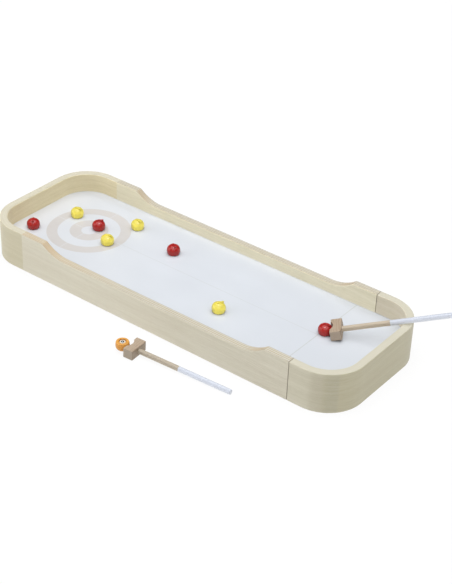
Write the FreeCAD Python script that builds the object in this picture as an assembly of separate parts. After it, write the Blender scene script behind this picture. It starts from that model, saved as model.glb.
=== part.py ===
import FreeCAD, Part
import math
import os

V = FreeCAD.Vector

# ---------------------------------------------------------------------------
# Frame: millimetres, +Z up, origin on the table under the middle of the tray.
# +X runs along the lane to the end that the players stand at, +Y to the back.
# ---------------------------------------------------------------------------

# tray
LENGTH = 876.0            # over the two end rails
WIDTH = 300.0
END_H = 84.5              # height of the end rails and of the raised rail ends
SIDE_H = 64.4             # height of the side rails along the lane
WALL = 16.0               # thickness of every rail
CORNER_R = 78.0           # outer radius of the bent end rails
SEAM_X = 330.0            # where an end rail meets the side rails
SEAM_GAP = 1.2            # open joint of the end that pulls out
EDGE_R = 1.6              # rounding of the top edges

# shoulder of a side rail, from the low lane part up to the raised end
SWEEP_X = 218.0           # where the curve leaves the low level
SWEEP_R = 88.0
CREST_R = 8.0

# playing board
LANE_Z = 43.3             # playing surface
BOARD_T = 6.0
TONGUE = 5.0              # how far the board enters its groove
LOOSE = 0.4               # play of the board in the end that pulls out

# bottom
PANEL_T = 4.0
RABBET = 6.0

# drawer
DRAWER_X0 = 40.0
DRAWER_H0 = 4.3           # underside of the drawer floor
DRAWER_FLOOR_T = 3.0
DRAWER_SIDE_T = 5.0
DRAWER_SIDE_H = 33.0
DRAWER_PLAY = 0.6         # to each side rail
FRONT_X0, FRONT_X1 = 340.0, 346.0

# stones and ball
STONE_R = 13.7
STONE_CUT = 7.5           # from the middle of the ball form to its flat base
STONE_DOME = 11.9         # from the middle to the top of the flattened dome
DOME_POWER = 2.35         # 2 is an ellipse, more is fuller at the shoulders
BASE_R = 12.1             # where the sides would meet the base without its round edge
BASE_EDGE_R = 1.3
HANDLE_TOP = 13.6
HANDLE_T = 2.3
HANDLE_W = 4.0
HANDLE_EDGE_R = 0.7
ROLLER_R = 4.0
ROLLER_OUT = 0.4          # how far the steel ball stands out of the base
ROLLER_PLAY = 0.05
CUP_R = 5.5
CUP_Z0, CUP_Z1 = 1.2, 8.2
RECESS_R, RECESS_D = 7.6, 3.2
RECESS_EDGE_R = 0.5
LIFT = 0.03               # steel ball over the board

# mallets
HEAD_U, HEAD_V, HEAD_W = 21.0, 43.5, 20.6
COVE_R, COVE_D = 16.5, 5.6
SHAFT_R = 5.25
SHAFT_L = 204.5           # beyond the head
SHAFT_IN = 13.0
TIP_R = 1.2

# small parts
DOWEL_R = 3.0
MAGNET_R, MAGNET_T = 4.0, 4.0
SCREW_R, SCREW_HEAD_R, SCREW_L = 1.2, 2.5, 14.0

HX, HY = LENGTH / 2, WIDTH / 2
IX, IY = HX - WALL, HY - WALL
IR = CORNER_R - WALL
BOARD_Z0 = LANE_Z - BOARD_T
FAR_END = -SEAM_X                    # far joint is glued tight
NEAR_RAIL_END = SEAM_X - SEAM_GAP / 2
NEAR_END_START = SEAM_X + SEAM_GAP / 2

os.makedirs("parts", exist_ok=True)


def save(name, shape):
    solids = shape.Solids
    ok = shape.isValid() and all(s.Volume > 0 for s in solids)
    if len(solids) == 1:
        shape = solids[0]
    else:
        shape = Part.makeCompound(solids)
    shape.exportStep("parts/%s.step" % name)
    b = shape.BoundBox
    print("%-26s %2d solid(s) %11.1f mm3 %s  [%.1f %.1f %.1f] [%.1f %.1f %.1f]" % (
        name, len(solids), sum(s.Volume for s in solids), "ok" if ok else "BAD",
        b.XMin, b.YMin, b.ZMin, b.XMax, b.YMax, b.ZMax))


def box(x0, x1, y0, y1, z0, z1):
    return Part.makeBox(x1 - x0, y1 - y0, z1 - z0, V(x0, y0, z0))


def cyl(r, p, axis, length):
    return Part.makeCylinder(r, length, p, axis)


def rounded(hx, hy, r, z0, z1):
    """Prism over a rectangle with round corners, centred on the origin."""
    k = math.sqrt(0.5) * r
    cx, cy = hx - r, hy - r
    edges = [
        Part.LineSegment(V(-cx, -hy, z0), V(cx, -hy, z0)).toShape(),
        Part.Arc(V(cx, -hy, z0), V(cx + k, -cy - k, z0), V(hx, -cy, z0)).toShape(),
        Part.LineSegment(V(hx, -cy, z0), V(hx, cy, z0)).toShape(),
        Part.Arc(V(hx, cy, z0), V(cx + k, cy + k, z0), V(cx, hy, z0)).toShape(),
        Part.LineSegment(V(cx, hy, z0), V(-cx, hy, z0)).toShape(),
        Part.Arc(V(-cx, hy, z0), V(-cx - k, cy + k, z0), V(-hx, cy, z0)).toShape(),
        Part.LineSegment(V(-hx, cy, z0), V(-hx, -cy, z0)).toShape(),
        Part.Arc(V(-hx, -cy, z0), V(-cx - k, -cy - k, z0), V(-cx, -hy, z0)).toShape(),
    ]
    return Part.Face(Part.Wire(edges)).extrude(V(0, 0, z1 - z0))


def fillet_where(shape, radius, test):
    edges = [e for e in shape.Edges if test(e)]
    return shape.makeFillet(radius, edges)


# ---------------------------------------------------------------------------
# Small parts that cut their own holes
# ---------------------------------------------------------------------------

board = rounded(IX + TONGUE, IY + TONGUE, IR + TONGUE, BOARD_Z0, LANE_Z)
board_groove = rounded(IX + TONGUE + LOOSE, IY + TONGUE + LOOSE, IR + TONGUE + LOOSE,
                       BOARD_Z0 - 0.3, LANE_Z + 0.3)
panel = rounded(IX + RABBET, IY + RABBET, IR + RABBET, 0, PANEL_T).common(
    box(-HX, NEAR_RAIL_END, -HY, HY, -1, PANEL_T + 1))

JOINT_Y = HY - 7.0
DOWEL_Z = (22.0, 62.0)


def peg(p, axis, length, r, nose):
    """Dowel with both ends chamfered by nose."""
    body = cyl(r, p, axis, length)
    return body.makeChamfer(nose, [e for e in body.Edges
                                   if abs(e.Length - 2 * math.pi * r) < 0.01])


far_dowels, near_dowels, near_holes = [], [], []
for side in (-1, 1):
    for z in DOWEL_Z:
        far_dowels.append(peg(V(FAR_END - 14, side * JOINT_Y, z), V(1, 0, 0), 28, DOWEL_R, 0.6))
        near_dowels.append(peg(V(NEAR_RAIL_END - 16, side * JOINT_Y, z), V(1, 0, 0), 28,
                               DOWEL_R, 1.2))
        near_holes.append(cyl(DOWEL_R + 0.1, V(NEAR_END_START - 0.1, side * JOINT_Y, z),
                              V(1, 0, 0), 13.5))

MAGNET_Y, MAGNET_Z = HY - 6.2, 42.0
rail_magnets, end_magnets = [], []
for side in (-1, 1):
    m = cyl(MAGNET_R, V(NEAR_RAIL_END - MAGNET_T, side * MAGNET_Y, MAGNET_Z), V(1, 0, 0), MAGNET_T)
    rail_magnets.append(m.makeChamfer(0.3, [e for e in m.Edges if e.Length > 20]))
    m = cyl(MAGNET_R, V(NEAR_END_START, side * MAGNET_Y, MAGNET_Z), V(1, 0, 0), MAGNET_T)
    end_magnets.append(m.makeChamfer(0.3, [e for e in m.Edges if e.Length > 20]))

BRACE_T = 16.0
BRACE_X = (DRAWER_X0 - 0.3 - BRACE_T, -250.0)
brace_dowels = []
for bx in BRACE_X:
    for side in (-1, 1):
        for z in (13.0, 28.0):
            brace_dowels.append(peg(V(bx + BRACE_T / 2, side * (IY - 12), z), V(0, side, 0), 24,
                                    DOWEL_R, 0.6))


def screw(x, y):
    """Countersunk wood screw, driven up from below."""
    pts = [V(0, 0, 0.2), V(SCREW_HEAD_R, 0, 0.2), V(SCREW_R, 0, 0.2 + SCREW_HEAD_R - SCREW_R),
           V(SCREW_R, 0, SCREW_L - 1.8), V(0, 0, SCREW_L), V(0, 0, 0.2)]
    s = Part.Face(Part.makePolygon(pts)).revolve(V(0, 0, 0), V(0, 0, 1), 360)
    s = Part.Solid(s) if s.ShapeType != "Solid" else s
    cross = box(-1.5, 1.5, -0.3, 0.3, 0, 1.1).fuse(box(-0.3, 0.3, -1.5, 1.5, 0, 1.1))
    seat = s.copy()
    s = s.cut(cross)
    s.translate(V(x, y, 0))
    seat.translate(V(x, y, 0))
    head_room = cyl(SCREW_HEAD_R, V(x, y, -0.5), V(0, 0, 1), 0.7)
    return s, seat.fuse(head_room)


SCREW_Y = IY + RABBET / 2
screw_places = [(x, s * SCREW_Y) for s in (-1, 1) for x in (-300, -180, -60, 70, 190, 310)]
screw_places += [(-(IX + RABBET / 2), y) for y in (-45, 45)]
screw_places += [(bx + BRACE_T / 2, y) for bx in BRACE_X for y in (-70, 70)]
screws, screw_seats = [], []
for x, y in screw_places:
    s, seat = screw(x, y)
    screws.append(s)
    screw_seats.append(seat)

# ---------------------------------------------------------------------------
# Drawer, which hangs on the near end rail
# ---------------------------------------------------------------------------

FLOOR_Z1 = DRAWER_H0 + DRAWER_FLOOR_T
floor_wide = rounded(IX + 4, IY + 4, IR + 4, DRAWER_H0, FLOOR_Z1).common(
    box(NEAR_END_START, HX, -HY, HY, 0, 20))
floor_long = box(DRAWER_X0, NEAR_END_START + 2, -(IY - DRAWER_PLAY), IY - DRAWER_PLAY,
                 DRAWER_H0, FLOOR_Z1)
drawer_floor = floor_long.fuse(floor_wide).removeSplitter()

sy1 = IY - DRAWER_PLAY
sy0 = sy1 - DRAWER_SIDE_T
drawer_side_front = box(DRAWER_X0, FRONT_X0, -sy1, -sy0, FLOOR_Z1, DRAWER_SIDE_H)
drawer_side_back = box(DRAWER_X0, FRONT_X0, sy0, sy1, FLOOR_Z1, DRAWER_SIDE_H)
drawer_back = box(DRAWER_X0, DRAWER_X0 + DRAWER_SIDE_T, -sy0, sy0, FLOOR_Z1, DRAWER_SIDE_H)
drawer_front_board = box(FRONT_X0, FRONT_X1, -IY, IY, FLOOR_Z1, 36.0)
divider_pins = box(108, 111, -sy0, sy0, FLOOR_Z1, 27.0)
divider_mallets = box(208, 211, -sy0, sy0, FLOOR_Z1, 27.0)

# pins lie along X, each with its neck in a notch of the rack
PIN_L, PIN_BELLY, PIN_X0, PIN_PITCH = 52.0, 8.5, 50.0, 24.0
PIN_Z = FLOOR_Z1 + PIN_BELLY + 0.05
PIN_NECK_X, PIN_NECK_R = 37.5, 3.6
PIN_HEAD_R = 5.8


def pin(y):
    prof = [(0, 4.7), (3, 5.5), (10, 7.7), (17, PIN_BELLY), (24, 7.7), (31, 5.2),
            (PIN_NECK_X, PIN_NECK_R), (41.5, 4.2)]
    hx, hr = PIN_L - PIN_HEAD_R, PIN_HEAD_R          # the head's round end
    join = V(hx - 0.8, math.sqrt(hr ** 2 - 0.8 ** 2), 0)
    curve = Part.BSplineCurve()
    curve.interpolate(Points=[V(x, r, 0) for x, r in prof] + [join],
                      InitialTangent=V(3, 0.9, 0), FinalTangent=V(join.y, 0.8, 0))
    k = math.sqrt(0.5) * hr
    cap = Part.Arc(join, V(hx + k, k, 0), V(PIN_L, 0, 0))
    wire = Part.Wire([
        Part.LineSegment(V(0, 0, 0), V(0, 4.7, 0)).toShape(),
        curve.toShape(), cap.toShape(),
        Part.LineSegment(V(PIN_L, 0, 0), V(0, 0, 0)).toShape()])
    s = Part.Face(wire).revolve(V(0, 0, 0), V(1, 0, 0), 360)
    s = Part.Solid(s) if s.ShapeType != "Solid" else s
    s.translate(V(PIN_X0, y, PIN_Z))
    return s


pin_ys = [PIN_PITCH * (i - 4.5) for i in range(10)]
pins = [pin(y) for y in pin_ys]
rack = box(PIN_X0 + PIN_NECK_X - 2.5, PIN_X0 + PIN_NECK_X + 2.5, -sy0, sy0, FLOOR_Z1, PIN_Z)
for y in pin_ys:
    rack = rack.cut(cyl(4.6, V(PIN_X0 + PIN_NECK_X - 5, y, PIN_Z), V(1, 0, 0), 10))

# ---------------------------------------------------------------------------
# End rails
# ---------------------------------------------------------------------------


def end_rail(x_start, sign):
    ring = rounded(HX, HY, CORNER_R, 0, END_H).cut(rounded(IX, IY, IR, -1, END_H + 1))
    if sign > 0:
        u = ring.common(box(x_start, HX + 1, -HY - 1, HY + 1, -1, END_H + 1))
    else:
        u = ring.common(box(-HX - 1, x_start, -HY - 1, HY + 1, -1, END_H + 1))

    def on_rim(e):
        zs = [v.Point.z for v in e.Vertexes]
        xs = [v.Point.x for v in e.Vertexes]
        flat_end = all(abs(x - x_start) < 1e-6 for x in xs)
        return min(zs) > END_H - 1e-6 and not flat_end

    return fillet_where(u, EDGE_R, on_rim)


far_end = end_rail(FAR_END, -1).cut(board).cut(panel)
for d in far_dowels:
    far_end = far_end.cut(d)
for s in screw_seats[12:14]:
    far_end = far_end.cut(s)

near_end = end_rail(NEAR_END_START, 1).cut(board_groove).cut(drawer_floor)
for h in near_holes:
    near_end = near_end.cut(h)
for m in end_magnets:
    near_end = near_end.cut(m)

# ---------------------------------------------------------------------------
# Side rails: low along the lane, raised at both ends
# ---------------------------------------------------------------------------

c1z = SIDE_H + SWEEP_R                       # centre of the hollow curve is over SWEEP_X
c2z = END_H - CREST_R                        # centre of the crest's rounding
c2dx = math.sqrt((SWEEP_R + CREST_R) ** 2 - (c1z - c2z) ** 2)
f = SWEEP_R / (SWEEP_R + CREST_R)
TAN_X = SWEEP_X + c2dx * f                   # where the hollow curve meets the crest
TAN_Z = c1z - (c1z - c2z) * f
CREST_X = SWEEP_X + c2dx


def rail_profile(y):
    def arc_points(cx, cz, r, a0, a1):
        am = (a0 + a1) / 2
        return [V(cx + r * math.cos(a), y, cz + r * math.sin(a)) for a in (a0, am, a1)]

    a_low = -math.pi / 2
    a_tan = math.atan2(TAN_Z - c1z, TAN_X - SWEEP_X)
    hollow = arc_points(SWEEP_X, c1z, SWEEP_R, a_low, a_tan)
    crest = arc_points(CREST_X, c2z, CREST_R, math.pi / 2,
                       math.atan2(TAN_Z - c2z, TAN_X - CREST_X) % (2 * math.pi))

    def mirror(p):
        return V(-p.x, p.y, p.z)

    right, left = NEAR_RAIL_END, FAR_END
    e = [
        Part.LineSegment(V(left, y, 0), V(right, y, 0)).toShape(),
        Part.LineSegment(V(right, y, 0), V(right, y, END_H)).toShape(),
        Part.LineSegment(V(right, y, END_H), crest[0]).toShape(),
        Part.Arc(crest[0], crest[1], crest[2]).toShape(),
        Part.Arc(hollow[2], hollow[1], hollow[0]).toShape(),
        Part.LineSegment(hollow[0], mirror(hollow[0])).toShape(),
        Part.Arc(mirror(hollow[0]), mirror(hollow[1]), mirror(hollow[2])).toShape(),
        Part.Arc(mirror(crest[2]), mirror(crest[1]), mirror(crest[0])).toShape(),
        Part.LineSegment(mirror(crest[0]), V(left, y, END_H)).toShape(),
        Part.LineSegment(V(left, y, END_H), V(left, y, 0)).toShape(),
    ]
    return Part.Face(Part.Wire(e))


def side_rail(side):
    y0 = -HY if side < 0 else IY
    rail = rail_profile(y0).extrude(V(0, WALL, 0))

    def on_top(e):
        pts = [v.Point for v in e.Vertexes]
        along = abs(pts[0].x - pts[-1].x) > 1.0
        return along and min(p.z for p in pts) > 30

    rail = fillet_where(rail, EDGE_R, on_top)
    rail = rail.cut(board).cut(panel)
    for d in far_dowels + near_dowels + rail_magnets + brace_dowels:
        rail = rail.cut(d)
    for s in screw_seats[:12]:
        rail = rail.cut(s)
    return rail


rail_front = side_rail(-1)
rail_back = side_rail(1)

# ---------------------------------------------------------------------------
# Bottom panel and braces
# ---------------------------------------------------------------------------

braces = []
for bx in BRACE_X:
    b = box(bx, bx + BRACE_T, -IY, IY, PANEL_T, BOARD_Z0)
    for d in brace_dowels:
        b = b.cut(d)
    for s in screw_seats[14:]:
        b = b.cut(s)
    braces.append(b)
for s in screw_seats:
    panel = panel.cut(s)

# ---------------------------------------------------------------------------
# Stones and ball: a ball form with a flat base and a flattened dome, on it a
# low handle that is free at one end, and a steel ball in a cup in the base
# ---------------------------------------------------------------------------


def dome_height(r):
    """Height of the dome over the middle, at a distance r from the axis."""
    return STONE_DOME * (1.0 - (r / STONE_R) ** DOME_POWER) ** (1.0 / DOME_POWER)


def stone_form():
    mid = STONE_CUT
    side_r = (STONE_CUT ** 2 + (STONE_R - BASE_R) ** 2) / (2 * (STONE_R - BASE_R))

    def side(t):
        return V(STONE_R - side_r + side_r * math.cos(t), 0, mid + side_r * math.sin(t))

    def dome(t):
        c, d = math.cos(t) ** (2.0 / DOME_POWER), math.sin(t) ** (2.0 / DOME_POWER)
        return V(STONE_R * c, 0, mid + STONE_DOME * d)

    low = -math.asin(STONE_CUT / side_r)
    widest, top_point = V(STONE_R, 0, mid), V(0, 0, mid + STONE_DOME)
    over = Part.BSplineCurve()
    over.interpolate(Points=[widest] + [dome(math.pi / 2 * i / 14.0) for i in range(1, 14)] + [top_point],
                     InitialTangent=V(0, 0, 1), FinalTangent=V(-1, 0, 0))
    outline = [
        Part.LineSegment(V(0, 0, 0), V(BASE_R, 0, 0)).toShape(),
        Part.Arc(V(BASE_R, 0, 0), side(low / 2), widest).toShape(),
        over.toShape(),
        Part.LineSegment(top_point, V(0, 0, 0)).toShape(),
    ]
    s = Part.Face(Part.Wire(outline)).revolve(V(0, 0, 0), V(0, 0, 1), 360)
    s = Part.makeSolid(s) if s.ShapeType != "Solid" else s
    s = s.makeFillet(BASE_EDGE_R, [e for e in s.Edges if e.BoundBox.ZMax < 0.001 and e.BoundBox.XMin < -1.0])
    top = mid + HANDLE_TOP
    under = top - HANDLE_T
    z_in = mid + STONE_DOME - 3.2
    end_r = HANDLE_T / 2
    foot = V(-6.9, 0, mid + dome_height(6.9) - 0.2)
    hump_x = -2.4
    rise, run = top - foot.z, hump_x - foot.x
    hump_r = (run * run + rise * rise) / (2 * rise)
    half = math.asin(run / hump_r) / 2
    hump = V(hump_x - hump_r * math.sin(half), 0, top - hump_r + hump_r * math.cos(half))
    tip = 10.1 - end_r
    pts = [
        Part.LineSegment(V(-6.2, 0, z_in), foot).toShape(),
        Part.Arc(foot, hump, V(hump_x, 0, top)).toShape(),
        Part.LineSegment(V(hump_x, 0, top), V(tip, 0, top)).toShape(),
        Part.Arc(V(tip, 0, top), V(tip + end_r, 0, top - end_r), V(tip, 0, under)).toShape(),
        Part.LineSegment(V(tip, 0, under), V(3.2, 0, under)).toShape(),
        Part.LineSegment(V(3.2, 0, under), V(3.2, 0, z_in)).toShape(),
        Part.LineSegment(V(3.2, 0, z_in), V(-6.2, 0, z_in)).toShape(),
    ]
    bar = Part.Face(Part.Wire(pts)).extrude(V(0, HANDLE_W, 0))
    bar.translate(V(0, -HANDLE_W / 2, 0))
    bar = bar.makeFillet(HANDLE_EDGE_R, [e for e in bar.Edges
                                         if abs(e.BoundBox.YLength) < 0.001 and e.BoundBox.ZMax > under - 0.05
                                         and e.BoundBox.ZMin > z_in + 0.1])
    s = s.fuse(bar)
    s = s.cut(cyl(RECESS_R, V(0, 0, 0), V(0, 0, 1), RECESS_D))
    s = s.cut(cyl(CUP_R, V(0, 0, RECESS_D), V(0, 0, 1), CUP_Z1 - RECESS_D))
    return s.makeFillet(RECESS_EDGE_R, [e for e in s.Edges if e.BoundBox.ZMax < 0.001
                                        and abs(e.BoundBox.XMax - RECESS_R) < 0.01])


def cup_form():
    c = cyl(CUP_R, V(0, 0, CUP_Z0), V(0, 0, 1), CUP_Z1 - CUP_Z0)
    return c.cut(Part.makeSphere(ROLLER_R + ROLLER_PLAY, V(0, 0, ROLLER_R - ROLLER_OUT)))


def roller_form():
    return Part.makeSphere(ROLLER_R, V(0, 0, ROLLER_R - ROLLER_OUT))


STONE, CUP, ROLLER = stone_form(), cup_form(), roller_form()

# (x, y, direction of the handle's free end in degrees)
RED = [(-381.4, -66.0, -53.0), (-275.6, 17.4, 48.0), (-97.8, 45.4, -28.0), (296.0, 14.7, 10.0)]
YELLOW = [(-344.5, 26.5, 0.0), (-223.9, -13.6, 15.0), (-216.7, 71.9, -10.0), (100.7, -58.5, 56.0)]
BALL = (6.65, -227.2, 40.0)


def placed(shape, x, y, z, angle, turned=False):
    s = shape.copy()
    if turned:
        s.rotate(V(0, 0, 0), V(1, 0, 0), 180)
    s.rotate(V(0, 0, 0), V(0, 0, 1), angle)
    s.translate(V(x, y, z))
    return s


STONE_Z = LANE_Z + ROLLER_OUT + LIFT
for colour, places in (("red", RED), ("yellow", YELLOW)):
    for i, (x, y, a) in enumerate(places, 1):
        save("%s_stone_%d" % (colour, i), placed(STONE, x, y, STONE_Z, a))
        save("%s_stone_%d_cup" % (colour, i), placed(CUP, x, y, STONE_Z, a))
        save("%s_stone_%d_roller" % (colour, i), placed(ROLLER, x, y, STONE_Z, a))
BALL_Z = STONE_CUT + HANDLE_TOP + LIFT
x, y, a = BALL
save("bowling_ball", placed(STONE, x, y, BALL_Z, a, True))
save("bowling_ball_cup", placed(CUP, x, y, BALL_Z, a, True))
save("bowling_ball_roller", placed(ROLLER, x, y, BALL_Z, a, True))

# ---------------------------------------------------------------------------
# Mallets. Local frame: +X along the shaft away from the head, origin where the
# shaft leaves the head, +Z through the head's flat top.
# ---------------------------------------------------------------------------


def head_form():
    h = box(-HEAD_U, 0, -HEAD_V / 2, HEAD_V / 2, -HEAD_W / 2, HEAD_W / 2)
    h = h.makeFillet(1.2, [e for e in h.Edges if e.BoundBox.DiagonalLength > 1])
    h = h.cut(cyl(COVE_R, V(-HEAD_U - COVE_R + COVE_D, 0, -HEAD_W), V(0, 0, 1), 2 * HEAD_W))
    return h.cut(cyl(SHAFT_R, V(-SHAFT_IN, 0, 0), V(1, 0, 0), SHAFT_IN + 1))


def shaft_form():
    s = cyl(SHAFT_R, V(-SHAFT_IN, 0, 0), V(1, 0, 0), SHAFT_IN + SHAFT_L)
    return s.makeFillet(TIP_R, [e for e in s.Edges
                                if e.BoundBox.XMin > SHAFT_L - 0.01 and e.Length > 20])


HEAD, SHAFT = head_form(), shaft_form()


def aim(shape, origin, yaw, pitch):
    ya, pa = math.radians(yaw), math.radians(pitch)
    u = V(math.cos(ya) * math.cos(pa), math.sin(ya) * math.cos(pa), math.sin(pa))
    v = V(-math.sin(ya), math.cos(ya), 0)
    w = u.cross(v)
    m = FreeCAD.Matrix(u.x, v.x, w.x, origin.x,
                       u.y, v.y, w.y, origin.y,
                       u.z, v.z, w.z, origin.z,
                       0, 0, 0, 1)
    s = shape.copy()
    s.Placement = FreeCAD.Placement(m)
    return s


# one stands in the tray with its shaft over the near end rail
TRAY_MALLET = (V(324.5, 27.9, 58.98), 30.5, 15.55)
# the other lies on the table: head on its edge, tip of the shaft on the table
DROP = math.degrees(math.asin((HEAD_W / 2 - SHAFT_R) / SHAFT_L))
TABLE_MALLET = (V(40.9, -219.6, HEAD_W / 2 * math.cos(math.radians(DROP)) + 0.03), 4.8, -DROP)

save("tray_mallet_head", aim(HEAD, *TRAY_MALLET))
save("tray_mallet_shaft", aim(SHAFT, *TRAY_MALLET))
save("table_mallet_head", aim(HEAD, *TABLE_MALLET))
save("table_mallet_shaft", aim(SHAFT, *TABLE_MALLET))

# ---------------------------------------------------------------------------

save("playing_board", board)
save("bottom_panel", panel)
save("far_end_rail", far_end)
save("near_end_rail", near_end)
save("side_rail_front", rail_front)
save("side_rail_back", rail_back)
save("cross_brace_middle", braces[0])
save("cross_brace_far", braces[1])
save("far_joint_dowels", Part.makeCompound(far_dowels))
save("near_locating_dowels", Part.makeCompound(near_dowels))
save("brace_dowels", Part.makeCompound(brace_dowels))
save("rail_magnets", Part.makeCompound(rail_magnets))
save("end_rail_magnets", Part.makeCompound(end_magnets))
save("bottom_screws", Part.makeCompound(screws))
save("drawer_floor", drawer_floor)
save("drawer_side_front", drawer_side_front)
save("drawer_side_back", drawer_side_back)
save("drawer_back", drawer_back)
save("drawer_front_board", drawer_front_board)
save("divider_pins", divider_pins)
save("divider_mallets", divider_mallets)
save("pin_rack", rack)
save("bowling_pins", Part.makeCompound(pins))
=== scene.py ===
import math

import bpy
from mathutils import Matrix, Vector

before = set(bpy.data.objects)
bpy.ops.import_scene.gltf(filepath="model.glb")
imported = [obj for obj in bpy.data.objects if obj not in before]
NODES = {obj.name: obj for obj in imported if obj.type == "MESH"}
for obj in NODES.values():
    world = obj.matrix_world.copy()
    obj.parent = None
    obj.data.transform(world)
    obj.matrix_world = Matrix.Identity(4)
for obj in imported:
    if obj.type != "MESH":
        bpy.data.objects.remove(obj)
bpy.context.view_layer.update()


def srgb(r, g, b):
    """8-bit display colour to the linear colour that shaders take."""
    def one(c):
        c = c / 255.0
        return c / 12.92 if c <= 0.04045 else ((c + 0.055) / 1.055) ** 2.4
    return (one(r), one(g), one(b), 1.0)


# ---------------------------------------------------------------------------
# A small language for node trees: sockets that take part in arithmetic
# ---------------------------------------------------------------------------


class Val:
    def __init__(self, sh, socket):
        self.sh, self.socket = sh, socket

    def __add__(self, o):
        return self.sh.math("ADD", self, o)

    __radd__ = __add__

    def __sub__(self, o):
        return self.sh.math("SUBTRACT", self, o)

    def __rsub__(self, o):
        return self.sh.math("SUBTRACT", o, self)

    def __mul__(self, o):
        return self.sh.math("MULTIPLY", self, o)

    __rmul__ = __mul__

    def __truediv__(self, o):
        return self.sh.math("DIVIDE", self, o)

    def __neg__(self):
        return self.sh.math("MULTIPLY", self, -1.0)

    def abs(self):
        return self.sh.math("ABSOLUTE", self)

    def sign(self):
        return self.sh.math("SIGN", self)

    def floor(self):
        return self.sh.math("FLOOR", self)

    def frac(self):
        return self.sh.math("FRACT", self)

    def sqrt(self):
        return self.sh.math("SQRT", self)

    def pow(self, e):
        return self.sh.math("POWER", self, e)

    def min(self, o):
        return self.sh.math("MINIMUM", self, o)

    def max(self, o):
        return self.sh.math("MAXIMUM", self, o)

    def gt(self, o):
        return self.sh.math("GREATER_THAN", self, o)

    def lt(self, o):
        return self.sh.math("LESS_THAN", self, o)

    def clamp(self):
        return self.sh.math("ADD", self, 0.0, clamp=True)

    def ramp(self, a, b, lo=0.0, hi=1.0, smooth=True):
        return self.sh.map_range(self, a, b, lo, hi, smooth)


class Shade:
    """One material with a Principled shader."""

    def __init__(self, name, **sockets):
        self.mat = bpy.data.materials.new(name)
        self.mat.use_nodes = True
        self.tree = self.mat.node_tree
        self.tree.nodes.clear()
        self.out = self.tree.nodes.new("ShaderNodeOutputMaterial")
        self.bsdf = self.tree.nodes.new("ShaderNodeBsdfPrincipled")
        self.tree.links.new(self.bsdf.outputs["BSDF"], self.out.inputs["Surface"])
        for key, value in sockets.items():
            self.bsdf.inputs[key.replace("_", " ")].default_value = value
        self._coords = None

    def _feed(self, socket, value):
        if isinstance(value, Val):
            self.tree.links.new(value.socket, socket)
        else:
            socket.default_value = value

    def math(self, op, *args, clamp=False):
        n = self.tree.nodes.new("ShaderNodeMath")
        n.operation, n.use_clamp = op, clamp
        for i, a in enumerate(args):
            self._feed(n.inputs[i], a)
        return Val(self, n.outputs[0])

    def map_range(self, v, a, b, lo=0.0, hi=1.0, smooth=True):
        n = self.tree.nodes.new("ShaderNodeMapRange")
        n.interpolation_type = "SMOOTHSTEP" if smooth else "LINEAR"
        n.clamp = True
        for key, value in zip(("Value", "From Min", "From Max", "To Min", "To Max"), (v, a, b, lo, hi)):
            self._feed(n.inputs[key], value)
        return Val(self, n.outputs[0])

    def vec(self, x, y, z):
        n = self.tree.nodes.new("ShaderNodeCombineXYZ")
        for i, a in enumerate((x, y, z)):
            self._feed(n.inputs[i], a)
        return Val(self, n.outputs[0])

    def xyz(self):
        """Object coordinates in millimetres."""
        if self._coords is None:
            tc = self.tree.nodes.new("ShaderNodeTexCoord")
            sc = self.tree.nodes.new("ShaderNodeVectorMath")
            sc.operation = "SCALE"
            sc.inputs["Scale"].default_value = 1000.0
            self.tree.links.new(tc.outputs["Object"], sc.inputs[0])
            sp = self.tree.nodes.new("ShaderNodeSeparateXYZ")
            self.tree.links.new(sc.outputs[0], sp.inputs[0])
            self._coords = tuple(Val(self, sp.outputs[i]) for i in range(3))
        return self._coords

    def normal(self):
        g = self.tree.nodes.new("ShaderNodeNewGeometry")
        sp = self.tree.nodes.new("ShaderNodeSeparateXYZ")
        self.tree.links.new(g.outputs["Normal"], sp.inputs[0])
        return tuple(Val(self, sp.outputs[i]) for i in range(3))

    def noise(self, x, y, z, detail=2.0, rough=0.5, distortion=0.0, gain=1.0):
        """Fractal noise, centred on 0; gain stretches its range."""
        n = self.tree.nodes.new("ShaderNodeTexNoise")
        n.noise_dimensions = "3D"
        n.inputs["Scale"].default_value = 1.0
        n.inputs["Detail"].default_value = detail
        n.inputs["Roughness"].default_value = rough
        n.inputs["Distortion"].default_value = distortion
        self.tree.links.new(self.vec(x, y, z).socket, n.inputs["Vector"])
        v = Val(self, n.outputs[0]) - 0.5
        return v * gain if gain != 1.0 else v

    def hash(self, v):
        n = self.tree.nodes.new("ShaderNodeTexWhiteNoise")
        n.noise_dimensions = "1D"
        self._feed(n.inputs["W"], v)
        return Val(self, n.outputs["Value"])

    def mix(self, fac, a, b, blend="MIX"):
        n = self.tree.nodes.new("ShaderNodeMix")
        n.data_type, n.blend_type = "RGBA", blend
        n.clamp_factor = True
        self._feed(n.inputs[0], fac)
        self._feed(n.inputs[6], a)
        self._feed(n.inputs[7], b)
        return Val(self, n.outputs[2])

    def color(self, v):
        self._feed(self.bsdf.inputs["Base Color"], v)

    def rough(self, v):
        self._feed(self.bsdf.inputs["Roughness"], v)

    def bump(self, height_mm, strength=1.0):
        """height_mm is a relief in millimetres."""
        n = self.tree.nodes.new("ShaderNodeBump")
        n.inputs["Strength"].default_value = strength
        n.inputs["Distance"].default_value = 0.001
        self._feed(n.inputs["Height"], height_mm)
        self.tree.links.new(n.outputs[0], self.bsdf.inputs["Normal"])


def dress(names, shade):
    for n in names if isinstance(names, (list, tuple)) else [names]:
        ob = NODES[n]
        ob.data.materials.clear()
        ob.data.materials.append(shade.mat)
        for p in ob.data.polygons:
            p.material_index = 0


# ---------------------------------------------------------------------------
# Sizes of the tray, in millimetres, as in the CAD model
# ---------------------------------------------------------------------------

HX, HY, WALL, CORNER_R, END_H = 438.0, 150.0, 16.0, 78.0, 84.5
LANE_Z = 43.3
RAIL_PLY = WALL / 7.0
BENT_PLY = WALL / 10.0

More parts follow.
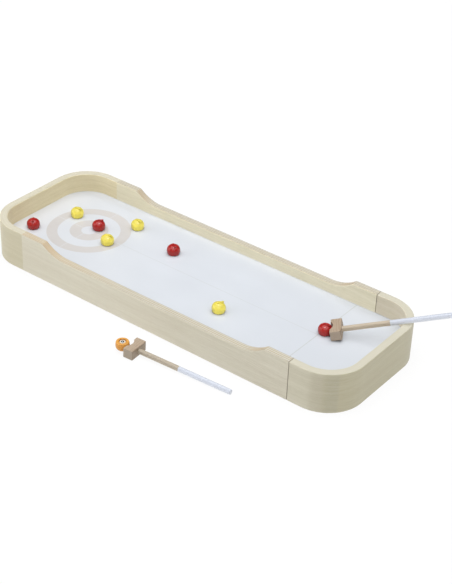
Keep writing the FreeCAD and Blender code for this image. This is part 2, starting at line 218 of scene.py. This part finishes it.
# ---------------------------------------------------------------------------
# Wood
# ---------------------------------------------------------------------------


def veneer(s, along, across, depth, seed, flow=1.0):
    """Tone of a peeled veneer face, about -0.5 to 0.5, and its fibre relief."""
    warp = s.noise(along / 170.0, across / 30.0, seed, detail=1.0)
    a = across + warp * (17.0 * flow)
    broad = s.noise(along / 240.0, a / 8.0, seed + 3.7, detail=3.0, rough=0.55)
    mid = s.noise(along / 55.0, a / 1.7, seed + 9.1, detail=2.0, rough=0.6)
    fibre = s.noise(along / 11.0, across / 0.33, depth / 0.6, detail=2.0, rough=0.6)
    fleck = s.noise(along / 9.0, across / 0.9, seed + 1.9, detail=2.0, rough=0.65)
    pore = s.noise(along / 3.6, across / 0.2, depth / 0.2 + 5.0, detail=1.0).ramp(0.14, 0.24)
    tone = broad * 0.95 + mid * 0.75 + fleck * 0.7 + fibre * 0.5 - pore * 0.3
    relief = fibre * 0.02 + mid * 0.012 + fleck * 0.01 - pore * 0.05
    return tone, relief


def stripes(s, along, depth, ply, seed, axis_across):
    """Edge of glued layers: index parity, a random tone per layer, streaks, glue lines."""
    t = depth / ply
    k = t.floor()
    f = t - k
    odd = (k * 0.5).frac() * 2.0
    rnd = s.hash(k + seed) - 0.5
    streak = s.noise(along / 22.0, depth / 0.22, axis_across / 9.0, detail=2.0)
    glue = (f - 0.5).abs().ramp(0.44, 0.5)
    return odd.gt(0.5), rnd, streak, glue


FACE_LIGHT, FACE_DARK = srgb(214, 209, 192), srgb(196, 189, 168)
# inner faces: lighter than the outer veneer, partly their own tan and partly painted light
TAN_LIGHT, TAN_DARK = srgb(237, 230, 206), srgb(213, 205, 175)
PLY_LONG, PLY_CROSS = srgb(182, 179, 168), srgb(159, 148, 124)


def side_rail_wood():
    s = Shade("side_rail_plywood", Coat_Weight=0.05, Coat_Roughness=0.35, Specular_IOR_Level=0.35)
    x, y, z = s.xyz()
    side = y.sign()
    depth = HY - y.abs()
    tone, relief = veneer(s, x, z, depth, side * 11.3 + depth.gt(8.0) * 5.1)
    face = s.mix(tone + 0.5, FACE_DARK, FACE_LIGHT)
    inner = s.mix(tone + 0.5, TAN_DARK, TAN_LIGHT)
    face = s.mix(depth.gt(8.0), face, inner)
    # painted shade: the outer faces turn darker towards the near end, where less light falls
    falloff_shade = s.mix(tone * 1.5 + 0.5, srgb(172, 165, 145), srgb(200, 195, 179))
    face = s.mix(x.ramp(-60.0, 340.0, 0.0, 0.6) * (1.0 - depth.gt(8.0) * 0.75), face, falloff_shade)
    nx, ny, nz = s.normal()
    odd, rnd, streak, glue = stripes(s, x, depth, RAIL_PLY, side * 7.0 + 31.0, z)
    cut = nx.abs().ramp(0.08, 0.5)                 # a slope opens the long plies' end grain
    even = 1.0 - odd
    cross = even * (1.0 - cut * 0.4) + odd * cut * 0.5
    calm = y.lt(0.0) * x.ramp(60.0, -100.0) * 0.55  # the front rail's plies are alike in tone at the far half
    cross = cross * (1.0 - calm) + calm * 0.5
    patch = s.noise(x / 38.0, depth / 1.6, side, detail=1.0)
    edge = s.mix(cross + rnd * 0.3 + streak * 0.5 + patch * 0.6, PLY_LONG, PLY_CROSS)
    edge = s.mix(glue * 0.35, edge, srgb(124, 105, 80))
    edge = s.mix(cut * 0.32, edge, srgb(168, 140, 102))
    edge = s.mix(depth.lt(RAIL_PLY * 0.95) * 0.85, edge, srgb(158, 152, 138))
    edge = s.mix(y.lt(0.0) * x.ramp(-40.0, -300.0) * 0.3, edge, srgb(186, 158, 116))
    skin = ny.abs().ramp(0.66, 0.74)
    s.color(s.mix(skin, edge, face))
    s.rough((tone * 0.10 + 0.5) + (1.0 - skin) * 0.08)
    s.bump(relief + (1.0 - skin) * (glue * -0.03 + streak * 0.03))
    return s


def end_rail_wood():
    s = Shade("end_rail_laminate", Coat_Weight=0.05, Coat_Roughness=0.35, Specular_IOR_Level=0.35)
    x, y, z = s.xyz()
    qx = x.abs() - (HX - CORNER_R)
    qy = y.abs() - (HY - CORNER_R)
    px, py = qx.max(0.0), qy.max(0.0)
    outside = (px * px + py * py).sqrt()
    depth = CORNER_R - (outside + qx.max(qy).min(0.0))
    turn = s.math("ARCTAN2", px, py.max(0.001))
    run = qx.min(0.0) + turn * CORNER_R - qy.min(0.0)
    total = CORNER_R * math.pi / 2 + (HY - CORNER_R)
    run = (total - run) * y.sign()                 # 0 in the middle of the end, on both sides
    end = x.sign()
    tone, relief = veneer(s, run, z, depth, end * 17.9 + depth.gt(8.0) * 6.3, flow=0.45)
    # painted light and shade: the two ends are lit and shaded copies of one laminate, the near outer face darker than
    # the far one
    near_face = s.mix(tone * 1.3 + 0.5, srgb(176, 168, 140), srgb(191, 186, 161))
    far_face = s.mix(tone + 0.5, srgb(186, 178, 149), srgb(203, 196, 172))
    # painted shade and light on the near end's outer face: a grey band and a darker stretch round the bend, a lighter
    # flat leg in front and a lighter back half
    grey_band_shade = turn.ramp(0.62, 0.42)
    shade = turn.ramp(0.45, 0.65) * turn.ramp(0.93, 0.83)
    flat_leg_light = turn.ramp(0.32, 0.12) * y.lt(0.0)
    near_face = s.mix(grey_band_shade * 0.5, near_face, s.mix(tone * 1.6 + 0.5, srgb(174, 168, 151), srgb(191, 186, 171)))
    near_face = s.mix(shade * 0.45, near_face, s.mix(tone * 1.6 + 0.5, srgb(162, 157, 137), srgb(178, 174, 155)))
    near_face = s.mix(flat_leg_light * 0.5, near_face, s.mix(tone * 1.6 + 0.5, srgb(190, 185, 165), srgb(206, 201, 183)))
    near_face = s.mix(y.ramp(20.0, 100.0) * 0.2, near_face, srgb(201, 196, 176))
    # painted light: the far inner face is lighter than the near one
    near_inner = s.mix(tone + 0.5, srgb(193, 183, 157), srgb(215, 207, 190))
    far_inner = s.mix(tone + 0.5, srgb(212, 199, 159), srgb(236, 225, 193))
    is_near = x.gt(0.0)
    face = s.mix(depth.gt(8.0), s.mix(is_near, far_face, near_face), s.mix(is_near, far_inner, near_inner))
    odd, rnd, streak, glue = stripes(s, run, depth, BENT_PLY, end * 5.0 + 12.0, z)
    lam = s.mix(rnd * 0.55 + streak * 0.4 + 0.35, srgb(188, 184, 168), srgb(175, 168, 146))
    lam = s.mix(glue * 0.35, lam, srgb(155, 141, 111))
    nx, ny, nz = s.normal()
    nx = nx.abs()
    # painted shade: the laminate edges at the near end are darker
    lam = s.mix(is_near * 0.5, lam, srgb(172, 169, 155))
    leg_end = (x.abs() - 330.0).lt(2.0) * nx.gt(0.9)
    lam = s.mix(leg_end * 0.5, lam, srgb(153, 126, 94))
    skin = nz.abs().ramp(0.74, 0.66) * (1.0 - leg_end)
    s.color(s.mix(skin, lam, face))
    s.rough((tone * 0.10 + 0.48) + (1.0 - skin) * 0.08)
    s.bump(relief + (1.0 - skin) * (glue * -0.025 + streak * 0.025))
    return s


def thin_ply(name, normal_axis, grain_axis, base, thick, light, dark, edge):
    """A thin sheet, its faces across normal_axis, its grain along grain_axis."""
    s = Shade(name)
    c = s.xyz()
    depth = c[normal_axis] - base
    across = c[3 - normal_axis - grain_axis]
    along = c[grain_axis]
    tone, relief = veneer(s, along, across, depth, 2.7 + base * 0.31, flow=0.8)
    face = s.mix(tone + 0.5, dark, light)
    t = depth / (thick / 3.0)
    core = t.gt(0.92) * t.lt(2.08)
    streak = s.noise(along / 7.0, depth / 0.3, across / 7.0)
    s.color(s.mix(core, face, s.mix(streak * 1.5 + 0.5, edge, dark)))
    s.rough(tone * 0.1 + 0.62)
    s.bump(relief * 1.4 + core * streak * 0.05)
    return s


def solid_wood(name, origin, yaw, pitch, grain, light, dark, ring=2.4, lean=0.0, pith=(-46.0, -70.0), seed=0.0,
               paint_from=None, ends=srgb(172, 160, 143), underside_light_weight=0.0):
    """Solid wood in the frame of a turned or sawn piece: grain 0 runs along its own X, grain 1 along its own Y."""
    s = Shade(name, Coat_Weight=0.05, Coat_Roughness=0.35)
    x, y, z = s.xyz()
    ya, pa = math.radians(yaw), math.radians(pitch)
    ax = Vector((math.cos(ya) * math.cos(pa), math.sin(ya) * math.cos(pa), math.sin(pa)))
    ay = Vector((-math.sin(ya), math.cos(ya), 0.0))
    az = ax.cross(ay)
    dx, dy, dz = x - origin[0], y - origin[1], z - origin[2]

    def along(v):
        return dx * v.x + dy * v.y + dz * v.z

    u, v, w = along(ax), along(ay), along(az)
    g, p, q = (u, v, w) if grain == 0 else (v, u, w)
    wob = s.noise(g / 75.0, p / 22.0, q / 22.0 + seed, detail=2.0)
    wob2 = s.noise(g / 16.0, p / 3.0, q / 3.0 + seed, detail=2.0)
    pp = p + g * lean - pith[0]
    qq = q + g * (lean * 0.4) - pith[1]
    r = (pp * pp + qq * qq).sqrt() + wob * 7.0 + wob2 * 0.8
    t = (r / ring).frac()
    late = t.ramp(0.35, 0.92) * t.ramp(1.0, 0.93)
    rnd = s.hash((r / ring).floor() + seed) - 0.5
    fibre = s.noise(g / 7.0, p / 0.28, q / 0.28, detail=2.0, rough=0.6)
    pore = s.noise(g / 2.6, p / 0.2, q / 0.2 + 3.0 + seed, detail=1.0).ramp(0.13, 0.22)
    broad = s.noise(g / 60.0, p / 12.0, q / 12.0 + seed * 2.0, detail=2.0)
    tone = late * 0.55 + rnd * 0.3 + fibre * 0.7 + broad * 0.6 + pore * 0.4
    wood = s.mix(tone, light, dark)
    nx, ny, nz = s.normal()
    sawn = (nx * ay.x + ny * ay.y).abs() if grain == 1 else (nx * ax.x + ny * ax.y + nz * ax.z).abs()
    wood = s.mix(sawn.ramp(0.8, 0.95) * 0.6, wood, ends)
    # painted shadow: a dark patch on the head's face just below where the shaft goes in
    if grain == 1 and paint_from is None and lean:
        shaft_shadow = (v * v + w * w).sqrt().ramp(8.4, 5.4) * u.gt(10.0) * w.ramp(1.5, -3.0)
        wood = s.mix(shaft_shadow * 0.75, wood, srgb(70, 56, 44))
    rough = tone * 0.06 + 0.5
    relief = late * 0.02 - pore * 0.06 + fibre * 0.03
    # painted light: surfaces that face down are given a lighter tone
    underside_light = nz.ramp(0.6, -0.55) * underside_light_weight
    wood = s.mix(underside_light, wood, s.mix(tone, srgb(220, 205, 182), srgb(203, 185, 158)))
    if paint_from is None:
        s.color(wood)
        s.rough(rough)
        s.bump(relief)
    else:
        edge = s.noise(v / 2.0, w / 2.0, seed + 4.0) * 0.5 + paint_from
        painted = u.gt(edge)
        soft = s.noise(u / 22.0, v / 6.0, w / 6.0, detail=2.0)
        white = s.mix(late * 0.05 + soft * 0.12 + 0.4, srgb(206, 209, 218), srgb(192, 198, 211))
        # painted shade: the white paint is darker where it faces up
        white = s.mix(nz.ramp(-0.1, 0.95), white, srgb(174, 179, 190))
        # painted light: the white paint is lighter underneath
        white = s.mix(underside_light, white, srgb(230, 234, 243))
        s.color(s.mix(painted, wood, white))
        s.rough(painted * (soft * 0.1 + 0.42) + (1.0 - painted) * rough)
        s.bump(relief * (1.0 - painted * 0.95) + painted * 0.09)
    return s


# ---------------------------------------------------------------------------
# Playing board
# ---------------------------------------------------------------------------

TARGET_X = -287.0


def board_face():
    s = Shade("board_white_melamine", Specular_IOR_Level=0.4)
    x, y, z = s.xyz()
    cloud = s.noise(x / 90.0, y / 60.0, 1.3, detail=3.0)
    grain = s.noise(x / 0.9, y / 0.9, z / 0.9, detail=2.0)
    base = s.mix(cloud * 1.6 + 0.5, srgb(181, 185, 191), srgb(186, 190, 196))
    # painted light and shade on the board: lighter towards the far end, a darker band short of the back rail, lighter
    # right against it, darker towards the near end
    base = s.mix(x.ramp(-430.0, -320.0, 0.6, 0.0) + x.ramp(-330.0, 80.0, 0.3, 0.0), base, srgb(192, 193, 195))
    base = s.mix(y.ramp(50.0, 112.0) * y.ramp(122.0, 114.0) * 0.5, base, srgb(177, 181, 187))
    base = s.mix(y.ramp(118.0, 130.0) * 0.8, base, srgb(193, 197, 203))
    base = s.mix(x.ramp(60.0, 430.0) * 0.8, base, srgb(178, 182, 188))
    tx = x - TARGET_X
    r = (tx * tx + y * y).sqrt()
    rag = s.noise(x / 1.2, y / 1.2, 7.0) * 0.25
    rr = r + rag

    def ring(inner, outer):
        return rr.ramp(inner - 0.35, inner + 0.35) * rr.ramp(outer + 0.35, outer - 0.35)

    rings = ring(65.0, 87.5) + ring(16.0, 40.0)
    gap = (tx + rag).abs().min((y + rag).abs()).ramp(0.45, 0.8)
    ink = s.noise(x / 14.0, y / 14.0, 3.0, detail=3.0) * 0.25 + 0.86
    beige = s.mix(cloud * 1.5 + 0.5, srgb(174, 170, 167), srgb(180, 176, 173))
    col = s.mix((rings * (gap * 0.8 + 0.2)).clamp() * ink, base, beige)
    centre = (y - 2.0 + rag).abs().ramp(0.95, 0.45) * x.gt(-199.0) * x.lt(289.0)
    cross = (x - 289.0 + rag).abs().ramp(1.15, 0.6)
    line = (centre * 0.34 + cross * 0.62).clamp() * (s.noise(x / 6.0, y / 6.0, 11.0) * 0.5 + 0.85)
    col = s.mix(line, col, srgb(153, 155, 147))
    top = z.gt(LANE_Z - 0.35)
    core = s.mix(grain * 1.2 + 0.5, srgb(132, 107, 77), srgb(155, 130, 98))
    s.color(s.mix(top.max(z.lt(LANE_Z - 6.0 + 0.35)), core, col))
    scuff = s.noise(x / 70.0, y / 1.1, 5.0, detail=2.0).ramp(0.16, 0.3)
    s.rough(cloud * 0.12 + 0.42 + scuff * 0.06)
    s.bump(grain * 0.008 + cloud * 0.01)
    return s


# ---------------------------------------------------------------------------
# Stones, ball, cups, steel balls, pins, small metal parts
# ---------------------------------------------------------------------------


def lacquer(name, deep, bright, shade_tone, seed, left_shade_weight=0.85):
    """Gloss colour coat: slight unevenness, orange peel and hazy rubs, with painted shade that darkens the top and
    the side turned to the left.
    """
    s = Shade(name, Coat_Weight=0.62, Coat_Roughness=0.05, Specular_IOR_Level=0.05)
    x, y, z = s.xyz()
    cloud = s.noise(x / 7.0, y / 7.0, z / 5.0 + seed, detail=3.0)
    rub = s.noise(x / 1.6, y / 1.6, z / 0.5 + seed, detail=3.0).ramp(0.1, 0.3)
    nx, ny, nz = s.normal()
    col = s.mix(cloud * 1.4 + 0.5 + rub * 0.08, deep, bright)
    # painted shade: surfaces facing up or to the left take the darker shade tone
    left_shade = (nx * -0.8 - ny * 0.6).ramp(0.3, 0.95, 0.0, left_shade_weight)
    s.color(s.mix(nz.ramp(0.1, 0.95).max(left_shade), col, shade_tone))
    s.rough(cloud * 0.08 + 0.3 + rub * 0.12)
    peel = s.noise(x / 1.1, y / 1.1, z / 1.1 + seed, detail=1.0)
    s.bump(peel * 0.006 + cloud * 0.02)
    return s


def moulded(name, light, dark):
    s = Shade(name, Specular_IOR_Level=0.45)
    x, y, z = s.xyz()
    c = s.noise(x / 2.5, y / 2.5, z / 2.5, detail=3.0)
    s.color(s.mix(c * 1.5 + 0.5, dark, light))
    s.rough(c * 0.15 + 0.45)
    s.bump(s.noise(x / 0.35, y / 0.35, z / 0.35) * 0.008)
    return s


def metal(name, tint, rough, scale, seed):
    s = Shade(name, Metallic=1.0)
    x, y, z = s.xyz()
    c = s.noise(x / scale, y / scale, z / scale + seed, detail=3.0)
    dark = tuple(v * 0.82 for v in tint[:3]) + (1.0,)
    s.color(s.mix(c * 1.6 + 0.5, dark, tint))
    s.rough(c * rough * 0.8 + rough)
    s.bump(s.noise(x / 0.6, y / 0.6, z / 0.15 + seed, detail=2.0) * 0.004)
    return s


def pin_paint():
    s = Shade("pin_lacquer", Coat_Weight=0.4, Coat_Roughness=0.1)
    x, y, z = s.xyz()
    c = s.noise(x / 20.0, y / 5.0, z / 5.0, detail=3.0)
    white = s.mix(c * 1.5 + 0.5, srgb(196, 194, 186), srgb(209, 207, 201))
    lx = x - 50.0 + s.noise(y / 2.0, z / 2.0, 2.0) * 0.2
    bands = lx.gt(33.2) * lx.lt(35.4) + lx.gt(39.4) * lx.lt(41.6)
    wood = s.mix(s.noise(x / 8.0, y / 0.8, z / 0.8, detail=2.0) * 1.5 + 0.5, srgb(173, 150, 114), srgb(189, 168, 134))
    col = s.mix(bands, white, srgb(152, 29, 31))
    s.color(s.mix(lx.lt(0.35), col, wood))
    s.rough(c * 0.1 + 0.3)
    s.bump(bands * 0.03 + c * 0.02)
    return s


# ---------------------------------------------------------------------------
# Dressing the CAD nodes
# ---------------------------------------------------------------------------

dress(["side_rail_front", "side_rail_back"], side_rail_wood())
dress(["far_end_rail", "near_end_rail"], end_rail_wood())
dress("playing_board", board_face())

DRAWER = (srgb(189, 173, 139), srgb(168, 148, 111), srgb(141, 116, 84))
dress("bottom_panel", thin_ply("bottom_ply", 2, 0, 0.0, 4.0, *DRAWER))
dress("drawer_floor", thin_ply("drawer_floor_ply", 2, 1, 4.3, 3.0, *DRAWER))
dress("drawer_side_front", thin_ply("drawer_side_ply_f", 1, 0, -133.4, 5.0, *DRAWER))
dress("drawer_side_back", thin_ply("drawer_side_ply_b", 1, 0, 128.4, 5.0, *DRAWER))
dress("drawer_back", thin_ply("drawer_back_ply", 0, 1, 40.0, 5.0, *DRAWER))
dress("drawer_front_board", thin_ply("drawer_front_ply", 0, 1, 340.0, 6.0, *DRAWER))
dress("divider_pins", thin_ply("divider_ply_a", 0, 1, 108.0, 3.0, *DRAWER))
dress("divider_mallets", thin_ply("divider_ply_b", 0, 1, 208.0, 3.0, *DRAWER))
dress("cross_brace_middle", thin_ply("brace_ply_a", 0, 1, 23.7, 16.0, *DRAWER))
dress("cross_brace_far", thin_ply("brace_ply_b", 0, 1, -250.0, 16.0, *DRAWER))

ROD_LIGHT, ROD_DARK = srgb(189, 168, 132), srgb(163, 134, 97)
dress(["far_joint_dowels", "near_locating_dowels"],
      solid_wood("joint_dowel_beech", (0, 0, 0), 0, 0, 0, ROD_LIGHT, ROD_DARK, 1.6, 0.05))
dress("brace_dowels", solid_wood("brace_dowel_beech", (0, 0, 0), 0, 0, 1, ROD_LIGHT, ROD_DARK, 1.6, 0.05))
dress("pin_rack", solid_wood("rack_beech", (0, 0, 0), 0, 0, 1, ROD_LIGHT, ROD_DARK, 2.0, 0.02))

HEAD_LIGHT, HEAD_DARK = srgb(154, 137, 118), srgb(128, 107, 86)
STICK_LIGHT, STICK_DARK = srgb(168, 156, 138), srgb(146, 129, 108)
DROP = math.degrees(math.asin((20.6 / 2 - 5.25) / 204.5))
TRAY_M = ((324.5, 27.9, 58.98), 30.5, 15.55)
TABLE_M = ((40.9, -219.6, 10.33), 4.8, -DROP)
STICK_WARM, STICK_DIM = srgb(156, 146, 130), srgb(136, 122, 103)
dress("tray_mallet_head", solid_wood("mallet_ash_a", *TRAY_M, 1, HEAD_LIGHT, HEAD_DARK, 2.3, 0.05, seed=3.0,
                                     ends=srgb(184, 166, 148)))
dress("table_mallet_head", solid_wood("mallet_ash_b", *TABLE_M, 1, HEAD_LIGHT, HEAD_DARK, 2.6, -0.04, seed=8.0,
                                      ends=srgb(162, 151, 135)))
dress("tray_mallet_shaft", solid_wood("mallet_rod_a", *TRAY_M, 0, STICK_LIGHT, STICK_DARK, 2.1, 0.2, seed=5.0,
                                      paint_from=90.5, underside_light_weight=0.9))
dress("table_mallet_shaft", solid_wood("mallet_rod_b", *TABLE_M, 0, STICK_WARM, STICK_DIM, 2.1, -0.22, seed=13.0,
                                       paint_from=90.5, underside_light_weight=0.5))

# the third colour of each coat is painted shade for its top and left side
dress(["red_stone_%d" % i for i in (1, 2, 3, 4)],
      lacquer("red_gloss", srgb(157, 38, 35), srgb(173, 44, 40), srgb(148, 29, 28), 1.0))
dress(["yellow_stone_%d" % i for i in (1, 2, 3, 4)],
      lacquer("yellow_gloss", srgb(244, 228, 98), srgb(250, 235, 106), srgb(196, 183, 78), 2.0))
dress("bowling_ball", lacquer("orange_gloss", srgb(202, 140, 62), srgb(212, 149, 68), srgb(195, 141, 69), 3.0, 0.0))
STONES = ["red_stone_%d" % i for i in (1, 2, 3, 4)] + ["yellow_stone_%d" % i for i in (1, 2, 3, 4)] + ["bowling_ball"]
dress([n + "_cup" for n in STONES], moulded("cup_natural", srgb(200, 194, 180), srgb(184, 176, 159)))
dress([n + "_roller" for n in STONES], metal("bearing_steel", (0.145, 0.155, 0.17, 1.0), 0.09, 3.0, 0.0))
dress(["rail_magnets", "end_rail_magnets"], metal("magnet_nickel", (0.62, 0.6, 0.57, 1.0), 0.22, 2.0, 4.0))
dress("bottom_screws", metal("screw_zinc", (0.6, 0.6, 0.58, 1.0), 0.32, 1.0, 9.0))
dress("bowling_pins", pin_paint())

# the shaft over the lane casts next to no shadow in the soft light of the photo
NODES["tray_mallet_shaft"].visible_shadow = False

# ---------------------------------------------------------------------------
# Floor, light, camera
# ---------------------------------------------------------------------------


def make_floor():
    half, n = 40.0, 16
    step = 2 * half / n
    verts = [(-half + i * step, -half + j * step, 0.0) for j in range(n + 1) for i in range(n + 1)]
    faces = [(j * (n + 1) + i, j * (n + 1) + i + 1, (j + 1) * (n + 1) + i + 1, (j + 1) * (n + 1) + i)
             for j in range(n) for i in range(n)]
    me = bpy.data.meshes.new("studio_floor")
    me.from_pydata(verts, [], faces)
    ob = bpy.data.objects.new("studio_floor", me)
    bpy.context.scene.collection.objects.link(ob)
    s = Shade("studio_paper", Specular_IOR_Level=0.1, Roughness=0.9, Emission_Color=(1.0, 1.0, 1.0, 1.0), Emission_Strength=0.91)
    x, y, z = s.xyz()
    s.color(s.mix(s.noise(x / 400.0, y / 400.0, 0.0) + 0.5, srgb(69, 69, 69), srgb(71, 71, 71)))
    me.materials.append(s.mat)


def make_backdrop():
    """A white wall far behind the floor, seen from low angles only; it neither lights nor shades anything."""
    n, radius, height = 48, 38.0, 40.0
    ring = [(radius * math.cos(i * math.tau / n), radius * math.sin(i * math.tau / n)) for i in range(n)]
    verts = [(x, y, -0.01) for x, y in ring] + [(x, y, height) for x, y in ring]
    faces = [((i + 1) % n, i, n + i, n + (i + 1) % n) for i in range(n)]
    me = bpy.data.meshes.new("studio_backdrop")
    me.from_pydata(verts, [], faces)
    ob = bpy.data.objects.new("studio_backdrop", me)
    bpy.context.scene.collection.objects.link(ob)
    s = Shade("studio_wall", Specular_IOR_Level=0.0, Roughness=1.0, Base_Color=(0.0, 0.0, 0.0, 1.0),
              Emission_Color=(1.0, 1.0, 1.0, 1.0), Emission_Strength=1.0)
    me.materials.append(s.mat)
    ob.visible_diffuse = ob.visible_glossy = ob.visible_transmission = ob.visible_shadow = False


def softbox(name, at, target, size, power, tint=(1.0, 1.0, 1.0), size_y=None):
    d = bpy.data.lights.new(name, "AREA")
    d.shape = "RECTANGLE"
    d.size, d.size_y = size, size_y or size
    d.energy, d.color = power, tint
    ob = bpy.data.objects.new(name, d)
    ob.location = at
    ob.rotation_mode = "QUATERNION"
    ob.rotation_quaternion = (Vector(target) - Vector(at)).to_track_quat("-Z", "Y")
    bpy.context.scene.collection.objects.link(ob)


def sun(name, frm, spread, power):
    """A wide light far away, so that it falls evenly over the floor."""
    d = bpy.data.lights.new(name, "SUN")
    d.angle = math.radians(spread)
    d.energy = power
    ob = bpy.data.objects.new(name, d)
    ob.rotation_mode = "QUATERNION"
    ob.rotation_quaternion = (-Vector(frm)).to_track_quat("-Z", "Y")
    bpy.context.scene.collection.objects.link(ob)


def make_light():
    w = bpy.data.worlds.new("studio")
    w.use_nodes = True
    bg = w.node_tree.nodes["Background"]
    bg.inputs["Color"].default_value = (1.0, 1.0, 1.0, 1.0)
    bg.inputs["Strength"].default_value = 0.054
    bpy.context.scene.world = w
    softbox("overhead", (-0.1, 0.1, 2.6), (0.0, 0.0, 0.0), 0.6, 14.3)
    sun("above", (0.0, 0.0, 1.0), 80, 3.40)
    sun("left", (-0.75, -0.60, 0.30), 50, 1.215)
    sun("right", (0.8, 0.55, 0.35), 50, 0.367)
    sun("front", (0.6, -0.8, 0.9), 50, 0.676)


def make_camera():
    focal_px, long_side = 1427.07, 584
    az, el, roll = (math.radians(a) for a in (36.8985, 33.3549, 2.2183))
    back = Vector((math.sin(az) * math.cos(el), -math.cos(az) * math.cos(el), math.sin(el)))
    right = Vector((0, 0, 1)).cross(back).normalized()
    up = back.cross(right)
    r2 = right * math.cos(roll) + up * math.sin(roll)
    u2 = up * math.cos(roll) - right * math.sin(roll)
    cam = bpy.data.cameras.new("camera")
    cam.sensor_fit, cam.sensor_width = "AUTO", 36.0
    cam.lens = focal_px * 36.0 / long_side
    cam.clip_start, cam.clip_end = 0.05, 50.0
    ob = bpy.data.objects.new("camera", cam)
    m = Matrix((r2, u2, back)).transposed().to_4x4()
    m.translation = Vector((1.45953, -1.84726, 1.56656))
    ob.matrix_world = m
    bpy.context.scene.collection.objects.link(ob)
    bpy.context.scene.camera = ob


make_floor()
make_backdrop()
make_light()
make_camera()
bpy.context.scene.view_settings.view_transform = "Standard"
bpy.context.scene.view_settings.look = "None"
